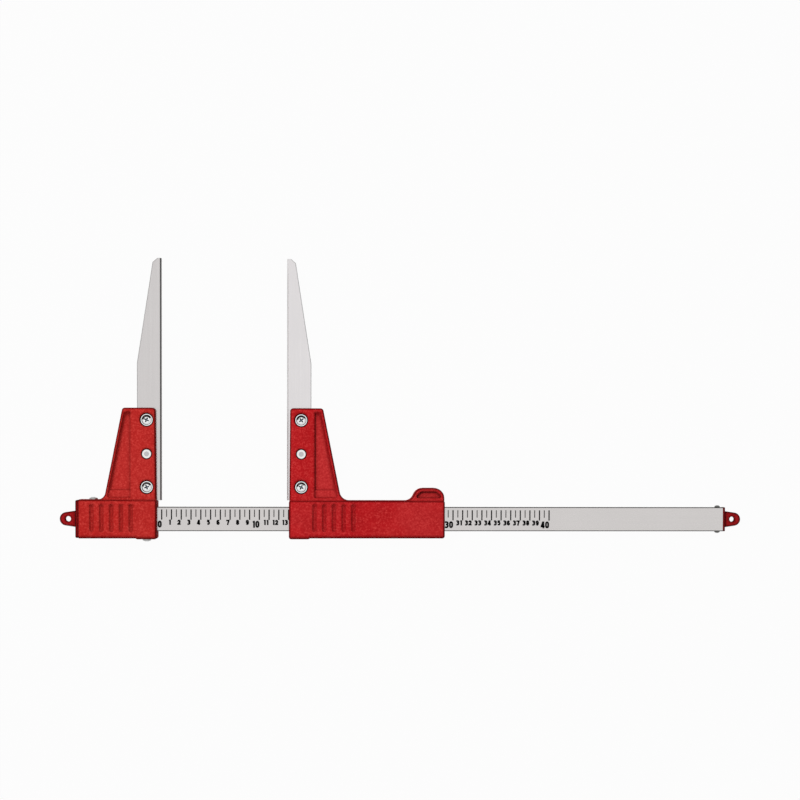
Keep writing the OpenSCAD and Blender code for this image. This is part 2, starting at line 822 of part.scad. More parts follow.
module slider_housing() {
    at_sliding_jaw() color(red) difference() {
        union() {
            jaw_moulding(
                slider_overhang, slider_end, box_top,
                slider_fillet_r, slider_rim, slider_web, slider_groove_start
            );
            thumb_hook();
        }
        hook_recess();
        beam_space(sleeve_gap, 0, slider_end + over);
        edge_glide(glide_left, 1, fit_gap);
        edge_glide(glide_right, 1, fit_gap);
        edge_glide(glide_right, -1, fit_gap);
        face_strip(1, fit_gap);
        face_strip(-1, fit_gap);
        shoe_pocket();
        hole_y(slider_boss_x, adjuster_d + 2 * grip_gap, -box_h, 0);
    }
}

module sliding_blade() at_sliding_jaw() color(bright_aluminium) blade();
module sliding_blade_screws() at_sliding_jaw() color(zinc) blade_screws();
module sliding_blade_nuts() at_sliding_jaw() color(zinc) blade_nuts();
module sliding_blade_dowel() at_sliding_jaw() color(bright_aluminium) blade_dowel();

module adjusting_shoe() {
    half_l = shoe_l / 2;
    half_w = glide_w / 2;
    at_sliding_jaw() color(white_acetal)
        block([slider_boss_x - half_l, shoe_bottom, -half_w], [slider_boss_x + half_l, shoe_top, half_w]);
}

// Headless screw under the shoe, with its socket facing down
module adjusting_screw() {
    low = -boss_bottom + adjuster_sink;
    at_sliding_jaw() color(zinc) translate([slider_boss_x, low, 0]) rotate([-90, 0, 0]) difference() {
        cylinder(d = adjuster_d, h = shoe_bottom - low);
        translate([0, 0, -over]) hexagon(socket_af, socket_depth + over);
    }
}

module upper_glide_left() at_sliding_jaw() color(white_acetal) edge_glide(glide_left, 1, 0);
module upper_glide_right() at_sliding_jaw() color(white_acetal) edge_glide(glide_right, 1, 0);
module lower_glide_right() at_sliding_jaw() color(white_acetal) edge_glide(glide_right, -1, 0);
module front_glide_strip() at_sliding_jaw() color(white_acetal) face_strip(1, 0);
module back_glide_strip() at_sliding_jaw() color(white_acetal) face_strip(-1, 0);

beam();
fixed_housing();
fixed_blade();
fixed_blade_screws();
fixed_blade_nuts();
fixed_blade_dowel();
fixed_end_plug();
fixed_plug_screw();
fixed_clamp_screw();
fixed_anchor_block();
free_end_plug();
free_end_rivets();
slider_housing();
sliding_blade();
sliding_blade_screws();
sliding_blade_nuts();
sliding_blade_dowel();
adjusting_screw();
adjusting_shoe();
upper_glide_left();
upper_glide_right();
lower_glide_right();
front_glide_strip();
back_glide_strip();
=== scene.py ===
# Log caliper: materials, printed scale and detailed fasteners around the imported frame.
import json
import math

import bmesh
import bpy
from mathutils import Matrix, Vector


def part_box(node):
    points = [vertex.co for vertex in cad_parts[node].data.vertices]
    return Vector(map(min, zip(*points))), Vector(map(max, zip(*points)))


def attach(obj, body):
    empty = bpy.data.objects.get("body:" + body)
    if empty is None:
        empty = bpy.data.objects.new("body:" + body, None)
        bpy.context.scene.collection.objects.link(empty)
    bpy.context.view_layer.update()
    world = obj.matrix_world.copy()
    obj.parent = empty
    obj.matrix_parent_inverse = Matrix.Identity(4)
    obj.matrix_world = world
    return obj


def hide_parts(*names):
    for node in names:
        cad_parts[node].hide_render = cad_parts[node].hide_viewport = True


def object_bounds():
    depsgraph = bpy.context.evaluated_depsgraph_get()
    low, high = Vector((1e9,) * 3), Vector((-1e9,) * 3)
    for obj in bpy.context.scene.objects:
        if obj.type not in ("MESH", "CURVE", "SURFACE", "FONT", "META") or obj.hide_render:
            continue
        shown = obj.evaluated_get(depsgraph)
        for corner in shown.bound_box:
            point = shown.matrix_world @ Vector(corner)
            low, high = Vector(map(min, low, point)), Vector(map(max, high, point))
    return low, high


MM = 0.001
CM = 10 * MM
scene = bpy.context.scene
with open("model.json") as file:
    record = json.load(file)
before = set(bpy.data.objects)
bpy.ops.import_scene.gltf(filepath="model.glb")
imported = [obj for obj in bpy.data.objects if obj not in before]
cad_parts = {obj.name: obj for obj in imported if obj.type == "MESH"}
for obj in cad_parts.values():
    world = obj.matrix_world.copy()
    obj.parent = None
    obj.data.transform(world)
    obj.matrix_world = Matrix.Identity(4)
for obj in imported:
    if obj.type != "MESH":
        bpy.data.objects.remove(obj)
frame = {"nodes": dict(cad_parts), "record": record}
cad_low, cad_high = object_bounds()
nodes = frame["nodes"]

# Camera at the photograph's viewing angle, above the face with the scale
CAMERA_PLACE = Vector((-0.08405, -0.059525, 1.700))
CAMERA_YAW = math.radians(-2.7355)
CAMERA_PITCH = math.radians(-1.4)
CAMERA_ROLL = math.radians(0.1350)
CAMERA_LENS = 73.319
CAMERA_SENSOR = 36.0
CAMERA_SHIFT = 0.12304

camera_data = bpy.data.cameras.new("camera")
camera_data.lens = CAMERA_LENS
camera_data.sensor_width = CAMERA_SENSOR
camera_data.shift_y = CAMERA_SHIFT
camera = bpy.data.objects.new("camera", camera_data)
scene.collection.objects.link(camera)
camera_turn = (
    Matrix.Rotation(CAMERA_YAW, 3, "Y")
    @ Matrix.Rotation(CAMERA_PITCH, 3, "X")
    @ Matrix.Rotation(CAMERA_ROLL, 3, "Z")
)
camera.matrix_world = Matrix.Translation(CAMERA_PLACE) @ camera_turn.to_4x4()
scene.camera = camera
scene.view_settings.view_transform = "Standard"

# Node helpers
# Sockets of the mix node when it blends colours
COLOUR_A = 6
COLOUR_B = 7
COLOUR_RESULT = 2
# Rays that the bevel and cavity nodes send at each point
BEVEL_SAMPLES = 4
CAVITY_SAMPLES = 6


def new_material(name):
    """A material with its node tree and its principled shader."""
    material = bpy.data.materials.new(name)
    material.use_nodes = True
    tree = material.node_tree
    return material, tree, tree.nodes["Principled BSDF"]


def node(tree, kind, settings=None, values=None, links=None):
    """A node with its settings, socket values and incoming links."""
    made = tree.nodes.new(kind)
    for key, value in (settings or {}).items():
        setattr(made, key, value)
    for key, value in (values or {}).items():
        made.inputs[key].default_value = value
    for key, source in (links or {}).items():
        tree.links.new(source, made.inputs[key])
    return made


def scaled(colour, factor):
    """A colour with each part times a factor."""
    return tuple(c * factor for c in colour)


def own_place(tree):
    """The piece's own coordinates in metres."""
    return node(tree, "ShaderNodeTexCoord").outputs["Object"]


def own_normal(tree):
    """The surface's normal in the piece's own axes."""
    made = node(
        tree,
        "ShaderNodeVectorTransform",
        {"vector_type": "NORMAL", "convert_from": "WORLD", "convert_to": "OBJECT"},
        links={"Vector": node(tree, "ShaderNodeNewGeometry").outputs["Normal"]},
    )
    return made.outputs["Vector"]


def soft_normal(tree, reach):
    """The surface's normal, with its edges rounded over a reach."""
    made = node(tree, "ShaderNodeBevel", {"samples": BEVEL_SAMPLES}, values={"Radius": reach})
    return made.outputs["Normal"]


def noise(tree, vector, scale, detail, roughness):
    """Smooth noise from 0 to 1."""
    made = node(
        tree,
        "ShaderNodeTexNoise",
        values={"Scale": scale, "Detail": detail, "Roughness": roughness},
        links={"Vector": vector},
    )
    return made.outputs["Fac"]


def remap(tree, value, low, high, new_low=0.0, new_high=1.0, curve="LINEAR"):
    """A value carried from one range to another, held at its ends."""
    made = node(
        tree,
        "ShaderNodeMapRange",
        {"interpolation_type": curve},
        values={"From Min": low, "From Max": high, "To Min": new_low, "To Max": new_high},
        links={"Value": value},
    )
    return made.outputs["Result"]


def soft_step(tree, value, low, high, new_low=0.0, new_high=1.0):
    """A smooth change from one level to another."""
    return remap(tree, value, low, high, new_low, new_high, "SMOOTHSTEP")


def math_node(tree, operation, a, b):
    """A sum, product or the like of two values, each a socket or a number."""
    made = node(tree, "ShaderNodeMath", {"operation": operation})
    for index, value in enumerate((a, b)):
        if isinstance(value, (int, float)):
            made.inputs[index].default_value = value
        else:
            tree.links.new(value, made.inputs[index])
    return made.outputs["Value"]


def times(tree, a, b):
    """The product of two values."""
    return math_node(tree, "MULTIPLY", a, b)


def larger(tree, a, b):
    """The larger of two values."""
    return math_node(tree, "MAXIMUM", a, b)


def weighted(tree, a, b, share):
    """A mean of two values, with the first one's share."""
    return math_node(tree, "ADD", times(tree, a, share), times(tree, b, 1.0 - share))


def dot(tree, vector, other):
    """The dot product of a direction with another one, a socket or three numbers."""
    made = node(tree, "ShaderNodeVectorMath", {"operation": "DOT_PRODUCT"}, links={0: vector})
    if isinstance(other, tuple):
        made.inputs[1].default_value = other
    else:
        tree.links.new(other, made.inputs[1])
    return made.outputs["Value"]


def mix_colour(tree, factor, a, b):
    """A blend of two colours, each a socket or three numbers."""
    made = node(tree, "ShaderNodeMix", {"data_type": "RGBA"}, links={"Factor": factor})
    for index, value in ((COLOUR_A, a), (COLOUR_B, b)):
        if isinstance(value, tuple):
            made.inputs[index].default_value = (*value, 1.0)
        else:
            tree.links.new(value, made.inputs[index])
    return made.outputs[COLOUR_RESULT]


def bump(tree, shader, height, strength, distance, normal=None):
    """Fine relief from a height, over the surface's own normal or a given one."""
    links = {"Height": height}
    if normal:
        links["Normal"] = normal
    made = node(tree, "ShaderNodeBump", values={"Strength": strength, "Distance": distance}, links=links)
    tree.links.new(made.outputs["Normal"], shader.inputs["Normal"])


# Masks from a piece's own shape
def share_along_z(tree, vector, middle=0.0):
    """How far a vector's Z lies from a middle value, without its sign."""
    parts = node(tree, "ShaderNodeSeparateXYZ", links={"Vector": vector})
    off = math_node(tree, "SUBTRACT", parts.outputs["Z"], middle)
    return math_node(tree, "ABSOLUTE", off, 0.0)


def axis_distance(tree, x=0.0, y=0.0):
    """Distance from an axis along Z, at a place in the piece's own coordinates."""
    flat = node(
        tree,
        "ShaderNodeVectorMath",
        {"operation": "MULTIPLY_ADD"},
        values={1: (1.0, 1.0, 0.0), 2: (-x, -y, 0.0)},
        links={0: own_place(tree)},
    )
    out = node(tree, "ShaderNodeVectorMath", {"operation": "LENGTH"}, links={0: flat.outputs["Vector"]})
    return out.outputs["Value"]


def flat_faces(tree):
    """One on the faces toward the front and the back, nought on sides and steep slopes."""
    return remap(tree, share_along_z(tree, own_normal(tree)), 0.90, 0.98)


def rounding_mask(tree, near, far):
    """One on the roundings and bevels between a face and a side, nought on both flats.

    It rises where the normal's share along Z falls from near to far.
    """
    lean = share_along_z(tree, own_normal(tree))
    below_face = remap(tree, lean, near, far)
    off_side = remap(tree, lean, 0.02, 0.20)
    return times(tree, below_face, off_side)


def cavity(tree, reach):
    """Nought on open surfaces, up to one in corners, grooves and gaps narrower than reach."""
    made = node(tree, "ShaderNodeAmbientOcclusion", {"samples": CAVITY_SAMPLES}, values={"Distance": reach})
    return math_node(tree, "SUBTRACT", 1.0, made.outputs["AO"])


def edge_line(tree, soft, side, low, high):
    """One along the border of a face toward a side, where the soft normal's lean goes from low to high."""
    return times(tree, remap(tree, dot(tree, soft, side), low, high), flat_faces(tree))


# Levels of the red mouldings, measured from the middle plane, then reaches on the mouldings and the blades
MIDDLE_Z = (cad_low.z + cad_high.z) / 2
RECESS_FLOOR = 8.5 * MM
RECESS_FADE = 0.2 * MM
GROOVE_TOP = 11.9 * MM
GROOVE_FOOT = 10.3 * MM
ARM_FACE = 10.1 * MM
ARM_FADE = 0.1 * MM
SEAT_GAP = 1.2 * MM
CAVITY_REACH = 6.0 * MM
MOULDING_EDGE = 4.0 * MM
BLADE_EDGE = 1.4 * MM


def recess_floors(tree):
    """One on flat faces that lie well below the front and the back of the arms."""
    height = share_along_z(tree, own_place(tree), MIDDLE_Z)
    deep = remap(tree, height, RECESS_FLOOR + RECESS_FADE, RECESS_FLOOR)
    return times(tree, deep, flat_faces(tree))


def groove_depth(tree):
    """Nought at the boxes' front and back and on the arms, up to one at the foot of the grip grooves."""
    # This mask paints shade into the grip grooves, darkest at their foot
    height = share_along_z(tree, own_place(tree), MIDDLE_Z)
    painted_shade_share = remap(tree, height, GROOVE_TOP, GROOVE_FOOT)
    above_arm = remap(tree, height, ARM_FACE, ARM_FACE + ARM_FADE)
    return times(tree, painted_shade_share, above_arm)


def seat_rings(tree, seats):
    """Painted shadow round the heads and pins that are let into the surface, fading out over a small gap.
    """
    rings = 0.0
    for x, y, radius in seats:
        out = axis_distance(tree, x, y)
        near = remap(tree, out, radius + 0.5 * SEAT_GAP, radius + SEAT_GAP, 1.0, 0.0)
        rings = larger(tree, near, rings)
    return rings


def jaw_seats(jaw):
    """Place and radius of both screw heads and the pin of one jaw."""
    low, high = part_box(jaw + "_blade_screws")
    radius = (high.x - low.x) / 2
    x = (low.x + high.x) / 2
    pin_low, pin_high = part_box(jaw + "_blade_dowel")
    pin = (pin_low + pin_high) / 2
    pin_radius = (pin_high.x - pin_low.x) / 2
    return [(x, low.y + radius, radius), (x, high.y - radius, radius), (pin.x, pin.y, pin_radius)]


# Materials
def moulded_red(name, base, speck, edge, pale, seats=(), dark_edges=False):
    """Moulded plastic with grain and mottling, pale in its recesses, with painted shade in corners and
    grooves.

    With dark_edges all its edges have the edge colour as painted shade, and otherwise its roundings
    and lower edges have it. A painted shadow ring lies round each of its seats.
    """
    material, tree, shader = new_material(name)
    place = own_place(tree)
    grain = noise(tree, place, scale=560.0, detail=3.0, roughness=0.70)
    fine = noise(tree, place, scale=2600.0, detail=2.0, roughness=0.6)
    cloud = noise(tree, place, scale=46.0, detail=4.0, roughness=0.6)
    patches = noise(tree, place, scale=15.0, detail=2.0, roughness=0.5)
    relief = weighted(tree, grain, fine, 0.65)
    colour = mix_colour(tree, remap(tree, cloud, 0.32, 0.68), base, scaled(base, 0.80))
    worn = remap(tree, patches, 0.42, 0.62, 0.0, 0.7)
    colour = mix_colour(tree, larger(tree, worn, recess_floors(tree)), colour, pale)
    colour = mix_colour(tree, remap(tree, relief, 0.50, 0.64, 0.0, 0.8), colour, speck)
    colour = mix_colour(tree, remap(tree, relief, 0.48, 0.36, 0.0, 0.7), colour, scaled(base, 0.7))
    # Painted shade: ambient occlusion darkens corners, gaps and grooves towards a dark copy of the base
    hollow = cavity(tree, CAVITY_REACH)
    open_side = remap(tree, hollow, 0.03, 0.12, 1.0, 0.0)
    # Painted shade on the roundings, left out where the surface lies in a hollow
    outline = times(tree, rounding_mask(tree, 0.9995, 0.90), open_side)
    soft = soft_normal(tree, MOULDING_EDGE)
    # Painted shade on every edge, found where the rounded normal leaves the flat one
    if dark_edges:
        flat_share = dot(tree, soft, node(tree, "ShaderNodeNewGeometry").outputs["Normal"])
        outline = larger(tree, outline, remap(tree, flat_share, 0.99, 0.93))
    else:
        # Painted shade along the lower edges, as though the light came from above
        lower_edge_shade = edge_line(tree, soft, (0.0, -1.0, 0.0), 0.02, 0.20)
        outline = larger(tree, outline, times(tree, lower_edge_shade, 0.8))
    colour = mix_colour(tree, outline, colour, edge)
    # Painted shadow ring round each seat, darker than the edge colour
    if seats:
        colour = mix_colour(tree, seat_rings(tree, seats), colour, scaled(edge, 0.2))
    # Painted shade in corners and grooves, mixed in over everything else
    painted_shade_share = larger(tree, hollow, times(tree, groove_depth(tree), 0.22))
    colour = mix_colour(tree, painted_shade_share, colour, scaled(base, 0.15))
    tree.links.new(colour, shader.inputs["Base Color"])
    tree.links.new(remap(tree, relief, 0.3, 0.7, 0.58, 0.78), shader.inputs["Roughness"])
    shader.inputs["Specular IOR Level"].default_value = 0.06
    bump(tree, shader, relief, strength=0.22, distance=0.25 * MM, normal=soft)
    return material


X_AXIS = 0
Y_AXIS = 1
STREAK_STRETCH = 0.012


def brushed_metal(name, base, along, streak, bevel, back=0.0):
    """Aluminium with fine streaks along one axis, faint handling marks and bevels in another tone.

    The bevels' tone is painted light: a factor over one paints a highlight, under one paints shade.
    Its edge toward back, 1 or -1 along X, is painted dark as shade.
    """
    material, tree, shader = new_material(name)
    stretch = [1.0, 1.0, 1.0]
    stretch[along] = STREAK_STRETCH
    drawn = node(tree, "ShaderNodeMapping", values={"Scale": stretch}, links={"Vector": own_place(tree)})
    lines = noise(tree, drawn.outputs["Vector"], scale=2600.0, detail=4.0, roughness=0.6)
    broad = noise(tree, drawn.outputs["Vector"], scale=420.0, detail=2.0, roughness=0.5)
    cloud = noise(tree, own_place(tree), scale=24.0, detail=3.0, roughness=0.55)
    tone = weighted(tree, lines, broad, 0.6)
    dark = scaled(base, 1.0 - streak)
    light = scaled(base, 1.0 + streak)
    colour = mix_colour(tree, remap(tree, tone, 0.3, 0.7), dark, light)
    colour = mix_colour(tree, remap(tree, cloud, 0.35, 0.75, 0.0, 0.35), colour, scaled(base, 0.93))
    # Painted light on the bevels and roundings
    colour = mix_colour(tree, rounding_mask(tree, 0.97, 0.80), colour, scaled(base, bevel))
    if back:
        # Painted shade along the edge toward back
        line = edge_line(tree, soft_normal(tree, BLADE_EDGE), (back, 0.0, 0.0), 0.10, 0.32)
        colour = mix_colour(tree, line, colour, scaled(base, 0.2))
    tree.links.new(colour, shader.inputs["Base Color"])
    shader.inputs["Metallic"].default_value = 1.0
    tree.links.new(remap(tree, tone, 0.3, 0.7, 0.19, 0.29), shader.inputs["Roughness"])
    bump(tree, shader, lines, strength=0.04, distance=0.04 * MM)
    return material


def turned_metal(name, base, roughness):
    """Aluminium with fine rings about the piece's own Z axis."""
    material, tree, shader = new_material(name)
    rings = node(
        tree,
        "ShaderNodeTexNoise",
        {"noise_dimensions": "1D"},
        values={"Scale": 5200.0, "Detail": 2.0, "Roughness": 0.6},
        links={"W": axis_distance(tree)},
    ).outputs["Fac"]
    cloud = noise(tree, own_place(tree), scale=520.0, detail=3.0, roughness=0.6)
    tone = weighted(tree, rings, cloud, 0.55)
    colour = mix_colour(tree, remap(tree, tone, 0.35, 0.65), scaled(base, 0.86), base)
    tree.links.new(colour, shader.inputs["Base Color"])
    shader.inputs["Metallic"].default_value = 1.0
    rough = remap(tree, tone, 0.3, 0.7, roughness - 0.06, roughness + 0.08)
    tree.links.new(rough, shader.inputs["Roughness"])
    bump(tree, shader, rings, strength=0.12, distance=0.03 * MM)
    return material


def plated_steel(name, base, smoothest, roughest):
    """Zinc plating with faint mottling, between two levels of roughness."""
    material, tree, shader = new_material(name)
    place = own_place(tree)
    cloud = noise(tree, place, scale=260.0, detail=3.0, roughness=0.6)
    fine = noise(tree, place, scale=1800.0, detail=2.0, roughness=0.5)
    colour = mix_colour(tree, remap(tree, cloud, 0.35, 0.7), base, scaled(base, 0.94))
    tree.links.new(colour, shader.inputs["Base Color"])
    shader.inputs["Metallic"].default_value = 1.0
    tree.links.new(remap(tree, fine, 0.66, 0.85, smoothest, roughest), shader.inputs["Roughness"])
    bump(tree, shader, fine, strength=0.06, distance=0.04 * MM)
    return material


def white_plastic(name, base, light):
    """Smooth plastic, faintly clouded between two colours."""
    material, tree, shader = new_material(name)
    cloud = noise(tree, own_place(tree), scale=180.0, detail=3.0, roughness=0.55)
    tree.links.new(mix_colour(tree, remap(tree, cloud, 0.3, 0.7), base, light), shader.inputs["Base Color"])
    tree.links.new(remap(tree, cloud, 0.3, 0.7, 0.30, 0.42), shader.inputs["Roughness"])
    return material


def printed_ink(name, base, thin):
    """Ink with small uneven patches."""
    material, tree, shader = new_material(name)
    patch = noise(tree, own_place(tree), scale=1500.0, detail=3.0, roughness=0.6)
    colour = mix_colour(tree, remap(tree, patch, 0.45, 0.75, 0.0, 0.6), base, thin)
    tree.links.new(colour, shader.inputs["Base Color"])
    tree.links.new(remap(tree, patch, 0.3, 0.7, 0.45, 0.6), shader.inputs["Roughness"])
    shader.inputs["Specular IOR Level"].default_value = 0.02
    return material


# One finish for each material slot of the record
# The edge colours of the mouldings are painted shade along their edges
finishes = {
    "red_moulding": moulded_red(
        "red_moulding",
        base=(0.44, 0.008, 0.011),
        speck=(0.60, 0.050, 0.047),
        edge=(0.15, 0.002, 0.003),
        pale=(0.44, 0.021, 0.022),
        seats=jaw_seats("sliding"),
    ),
    "red_plug": moulded_red(
        "red_plug",
        base=(0.24, 0.004, 0.005),
        speck=(0.36, 0.020, 0.020),
        edge=(0.035, 0.001, 0.001),
        pale=(0.31, 0.006, 0.008),
        dark_edges=True,
    ),
    # The beam's bevels are painted nearly black as shade
    "beam_aluminium": brushed_metal(
        "beam_aluminium", base=(0.66, 0.635, 0.625), along=X_AXIS, streak=0.035, bevel=0.03
    ),
    # The sliding blade's bevels are painted lighter as a highlight, its edge toward +X dark as shade
    "blade_aluminium": brushed_metal(
        "blade_aluminium", base=(0.785, 0.76, 0.765), along=Y_AXIS, streak=0.05, bevel=1.15, back=1.0
    ),
    "dowel_aluminium": turned_metal("dowel_aluminium", base=(0.60, 0.59, 0.60), roughness=0.30),
    "zinc_steel": plated_steel("zinc_steel", base=(0.97, 0.98, 0.985), smoothest=0.0, roughest=0.12),
    "white_acetal": white_plastic("white_acetal", base=(0.78, 0.78, 0.72), light=(0.84, 0.84, 0.79)),
}
# The fixed jaw's moulding is a little more faded than the slider's, and its blade a little darker
finish_of = {
    "fixed_housing": moulded_red(
        "red_moulding_faded",
        base=(0.43, 0.014, 0.012),
        speck=(0.60, 0.062, 0.050),
        edge=(0.15, 0.003, 0.003),
        pale=(0.42, 0.021, 0.018),
        seats=jaw_seats("fixed"),
    ),
    # The fixed blade's bevels are painted darker as shade, and its edge toward -X too
    "fixed_blade": brushed_metal(
        "blade_aluminium_dark", base=(0.66, 0.635, 0.63), along=Y_AXIS, streak=0.05, bevel=0.26, back=-1.0
    ),
}
# Finishes of the detailed pieces: small heads, rivets, painted shade in cross recesses and on rims,
# the dowels' painted highlight rims and the print
dull_zinc = plated_steel("zinc_dull", base=(0.46, 0.46, 0.45), smoothest=0.32, roughest=0.42)
dark_zinc = plated_steel("zinc_dark", base=(0.17, 0.17, 0.165), smoothest=0.32, roughest=0.42)
painted_shade_zinc = plated_steel("zinc_painted_shade", base=(0.12, 0.145, 0.18), smoothest=0.28, roughest=0.38)
# A lighter copy of the dowel's finish, a painted highlight
dowel_painted_highlight = turned_metal("dowel_painted_highlight", base=(0.95, 0.95, 0.94), roughness=0.22)
ink_black = printed_ink("scale_ink", base=(0.004, 0.004, 0.004), thin=(0.016, 0.015, 0.015))
ink_grey = printed_ink("scale_ink_thin", base=(0.035, 0.033, 0.032), thin=(0.09, 0.087, 0.084))

# Shading of the solids: facets of a rounding are smooth, real edges stay sharp
WELD_DISTANCE = 0.002 * MM
SHALLOW_ANGLE = math.radians(28.0)
FACE_WEIGHT = 90


def smoothing_group():
    """Geometry nodes that weld the solid's seams and smooth its shallow edges."""
    group = bpy.data.node_groups.new("smooth_roundings", "GeometryNodeTree")
    group.interface.new_socket("Geometry", in_out="INPUT", socket_type="NodeSocketGeometry")
    group.interface.new_socket("Geometry", in_out="OUTPUT", socket_type="NodeSocketGeometry")
    start = node(group, "NodeGroupInput")
    welded = node(
        group,
        "GeometryNodeMergeByDistance",
        values={"Distance": WELD_DISTANCE},
        links={"Geometry": start.outputs["Geometry"]},
    )
    plain = node(
        group,
        "GeometryNodeRemoveAttribute",
        values={"Name": "custom_normal"},
        links={"Geometry": welded.outputs["Geometry"]},
    )
    angle = node(group, "GeometryNodeInputMeshEdgeAngle")
    shallow = node(
        group,
        "FunctionNodeCompare",
        {"data_type": "FLOAT", "operation": "LESS_EQUAL"},
        values={"B": SHALLOW_ANGLE},
        links={"A": angle.outputs["Unsigned Angle"]},
    )
    faces = node(
        group,
        "GeometryNodeSetShadeSmooth",
        {"domain": "FACE"},
        links={"Geometry": plain.outputs["Geometry"]},
    )
    edges = node(
        group,
        "GeometryNodeSetShadeSmooth",
        {"domain": "EDGE"},
        links={"Geometry": faces.outputs["Geometry"], "Shade Smooth": shallow.outputs["Result"]},
    )
    finish = node(group, "NodeGroupOutput")
    group.links.new(edges.outputs["Geometry"], finish.inputs["Geometry"])
    return group


smoothing = smoothing_group()


def smooth(piece):
    """Adds the smoothing, with large faces kept flat."""
    piece.modifiers.new("smooth_roundings", "NODES").node_group = smoothing
    weighted_normals = piece.modifiers.new("flat_faces", "WEIGHTED_NORMAL")
    weighted_normals.keep_sharp = True
    weighted_normals.weight = FACE_WEIGHT


slot_of = {row["node"]: row["material_slot"] for row in frame["record"]["subparts"]}
for name, piece in nodes.items():
    piece.data.materials.clear()
    piece.data.materials.append(finish_of.get(name, finishes[slot_of[name]]))
    smooth(piece)


# Mesh helpers
def mesh_object(bm, name):
    """A loose object from a bmesh."""
    mesh = bpy.data.meshes.new(name)
    bm.to_mesh(mesh)
    bm.free()
    made = bpy.data.objects.new(name, mesh)
    scene.collection.objects.link(made)
    return made


def piece_from(bm, name, material, body):
    """A piece of the caliper from a bmesh, riding on a body."""
    bmesh.ops.recalc_face_normals(bm, faces=bm.faces[:])
    piece = mesh_object(bm, name)
    piece.data.materials.append(material)
    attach(piece, body)
    return piece


def add_box(bm, low, high):
    """A closed box between two corners."""
    corners = [
        bm.verts.new((x, y, z))
        for x in (low[0], high[0])
        for y in (low[1], high[1])
        for z in (low[2], high[2])
    ]
    for face in ((0, 1, 3, 2), (4, 6, 7, 5), (0, 4, 5, 1), (2, 3, 7, 6), (0, 2, 6, 4), (1, 5, 7, 3)):
        bm.faces.new([corners[i] for i in face])


# Printed scale on the beam's front face
beam_low, beam_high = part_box("beam")
BEAM_TOP = beam_high.y
FACE = beam_high.z
INK_HEIGHT = 0.03 * MM
INK_SUNK = 0.02 * MM
ZERO_OFFSET = 0.2 * MM
ZERO_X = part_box("fixed_blade")[1].x + ZERO_OFFSET
SCALE_CM = 40
MARK_START = 2.6 * MM
MARK_LONG = 10.6 * MM
MARK_SHORT = 7.7 * MM
MARK_WIDE = 1.3 * MM
MARK_NARROW = 0.95 * MM
# The print runs down a little against the beam's edge
PRINT_SLOPE = 0.0018


def print_line(x, below):
    """Height on the beam's face at a distance below its edge, along the print."""
    return BEAM_TOP - below - PRINT_SLOPE * (x - ZERO_X)


def scale_marks(name, places, length, width, material):
    """Thin printed bars that hang from one line under the beam's upper edge."""
    bm = bmesh.new()
    for x in places:
        top = print_line(x, MARK_START)
        add_box(
            bm,
            (x - width / 2, top - length, FACE - INK_SUNK),
            (x + width / 2, top, FACE + INK_HEIGHT),
        )
    piece_from(bm, name, material, "frame")


whole_places = [ZERO_X + i * CM for i in range(SCALE_CM + 1)]
half_places = [ZERO_X + (i + 0.5) * CM for i in range(SCALE_CM)]
scale_marks("scale_marks", whole_places, MARK_LONG, MARK_WIDE, ink_black)
scale_marks("scale_half_marks", half_places, MARK_SHORT, MARK_NARROW, ink_grey)

# Digits as pen strokes in a box of height 1, each a list of points along the pen's middle
ARC_POINTS = 9
# Smallest cosine at a stroke's corner, which keeps its mitre short
MITRE_LIMIT = 0.5
SAME_POINT = 1e-6


def bend(x, y, rx, ry, start, end):
    """Points along an elliptic arc, with angles in degrees."""
    steps = [math.radians(start + (end - start) * i / (ARC_POINTS - 1)) for i in range(ARC_POINTS)]
    return [(x + rx * math.cos(a), y + ry * math.sin(a)) for a in steps]


def digit_strokes(pen, width, one_width):
    """The pen strokes of each digit, for a pen's width, a digit's width and that of the digit one."""
    half = pen / 2
    left = half
    right = width - half
    low = half
    high = 1.0 - half
    mid = width / 2
    stem = one_width - half
    wide = (right - left) / 2
    oval = bend(mid, high - 0.24, wide, 0.24, 180, 0) + bend(mid, low + 0.24, wide, 0.24, 0, -180)
    waist = 0.53
    waist_end = (mid - 0.12, waist)
    upper = (high - waist) / 2
    lower = (waist - low) / 2
    top_bowl = bend(mid, waist + upper, wide * 0.92, upper, 90, 450)
    low_bowl = bend(mid, low + lower, wide, lower, 90, 450)
    return {
        "0": [oval + oval[:1]],
        "1": [[(left, 0.74), (stem, 0.90)], [(stem, 1.0), (stem, 0.0)]],
        "2": [
            bend(mid, high - 0.22, wide, 0.22, 185, -35) + [(left + 0.02, low)],
            [(left - half, low), (right + half, low)],
        ],
        "3": [
            [(left - 0.6 * half, high)] + bend(mid, waist + upper, wide, upper, 90, -90) + [waist_end],
            [waist_end] + bend(mid, low + lower, wide, lower, 90, -90) + [(left - 0.6 * half, low)],
        ],
        "4": [
            [(right - 0.06, 0.0), (right - 0.06, 1.0)],
            [(right - 0.10, 0.97), (left, 0.30)],
            [(left - half, 0.27), (right + half, 0.27)],
        ],
        "5": [
            [(right + 0.06, high), (left + 0.07, high)],
            [(left + 0.07, 1.0), (left + 0.04, 0.50)],
            bend(mid, low + 0.24, wide, 0.24, 140, -155),
        ],
        "6": [low_bowl, bend(mid, high - 0.24, wide, 0.24, 25, 180) + [(left, low + lower)]],
        "7": [[(left - half, high), (right + half, high)], [(right, high), (mid - 0.06, 0.0)]],
        "8": [top_bowl, low_bowl],
        "9": [
            bend(mid, high - 0.23, wide, 0.23, 90, 450),
            bend(mid, low + 0.24, wide, 0.24, -155, 0) + [(right, high - 0.23)],
        ],
    }


